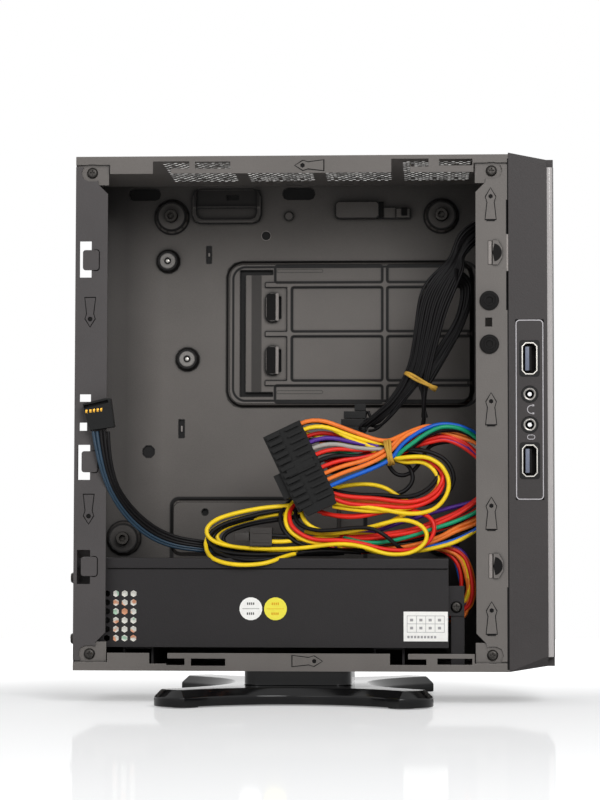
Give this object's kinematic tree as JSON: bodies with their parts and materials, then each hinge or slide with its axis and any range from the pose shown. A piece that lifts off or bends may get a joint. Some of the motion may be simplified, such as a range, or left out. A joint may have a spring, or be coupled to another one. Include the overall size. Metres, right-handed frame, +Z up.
{
  "type": "mini itx pc case",
  "caption": "Small upright computer case with its side cover off, on a footed stand, with bezel, ports, power supply and loose leads.",
  "frame": {"origin": "centre of the object's bounding box on the underside of the stand's foot pads", "axes": "+X towards the front bezel, -Y out of the open side, +Z up"},
  "size_m": [0.2208, 0.16, 0.2498],
  "materials": {
    "case_sheet": "satin black powder coat",
    "screw_black": "black plated steel",
    "bumper_rubber": "matt",
    "standoff_black": "black plated",
    "bezel_plastic": "fine textured",
    "fascia_gloss": "polished",
    "button_plastic": "polished",
    "lens_clear": "clear",
    "circuit_board": "solder mask",
    "port_metal": "nickel plated",
    "jack_black": "moulded",
    "psu_sheet": "matt black paint",
    "rail_steel": "zinc plated",
    "transformer_core": "tape wrapped",
    "capacitor_can": "sleeved",
    "heat_sink_metal": "plain",
    "fan_plastic": "moulded",
    "inlet_plastic": "moulded",
    "sticker_white": "paper",
    "sticker_yellow": "paper",
    "stand_gloss": "polished black",
    "plug_nylon": "moulded nylon",
    "plug_grey": "moulded nylon",
    "rubber_band": "matt",
    "wire_bundle": "insulated wires",
    "wire_black": "insulated wires"
  },
  "bodies": {
    "case": {"side_wall": "case_sheet", "outer_cover": "case_sheet", "top_panel": "case_sheet", "bottom_panel": "case_sheet", "rear_panel": "case_sheet", "front_frame": "case_sheet", "corner_screws": "screw_black", "psu_bracket_screw": "screw_black", "psu_fixing_screws": "screw_black", "stand_screws": "screw_black", "flange_bumpers": "bumper_rubber", "foot_pads": "bumper_rubber", "board_standoffs": "standoff_black", "threaded_inserts": "standoff_black", "front_bezel": "bezel_plastic", "port_plate": "bezel_plastic", "front_fascia": "fascia_gloss", "status_lenses": "lens_clear", "switch_board": "circuit_board", "port_board": "circuit_board", "psu_board": "circuit_board", "usb_port_upper": "port_metal", "usb_port_lower": "port_metal", "headphone_jack": "jack_black", "microphone_jack": "jack_black", "psu_case": "psu_sheet", "psu_cover": "psu_sheet", "psu_end_bracket": "psu_sheet", "psu_rails": "rail_steel", "psu_transformer": "transformer_core", "psu_capacitors": "capacitor_can", "psu_heat_sink": "heat_sink_metal", "psu_fan_frame": "fan_plastic", "power_inlet": "inlet_plastic", "sticker_white": "sticker_white", "rating_label": "sticker_white", "sticker_yellow": "sticker_yellow", "stand": "stand_gloss", "main_plug": "plug_nylon", "drive_plug": "plug_nylon", "header_plugs": "plug_nylon", "cpu_plug": "plug_grey", "harness_band": "rubber_band", "hank_band": "rubber_band", "main_harness": "wire_bundle", "cable_loop": "wire_bundle", "left_loops": "wire_bundle", "psu_riser": "wire_bundle", "cpu_lead": "wire_bundle", "drive_lead": "wire_black", "front_lead": "wire_black", "front_tail": "wire_black", "front_hank_slab": "wire_black"},
    "power_button_body": {"power_button": "button_plastic"},
    "reset_button_body": {"reset_button": "button_plastic"},
    "fan_body": {"psu_fan_rotor": "fan_plastic"}
  },
  "joints": [
    {"name": "power_button_press", "type": "slide", "parent": "case", "child": "power_button_body", "axis": [-1, 0, 0], "range_m": [0, 0.001], "stiffness_N_per_m": 400},
    {"name": "reset_button_press", "type": "slide", "parent": "case", "child": "reset_button_body", "axis": [-1, 0, 0], "range_m": [0, 0.0008], "stiffness_N_per_m": 300},
    {"name": "fan_spin", "type": "hinge", "parent": "case", "child": "fan_body", "pos_m": [-0.098, 0.0211, 0.04565], "axis": [1, 0, 0], "continuous": true}
  ]
}
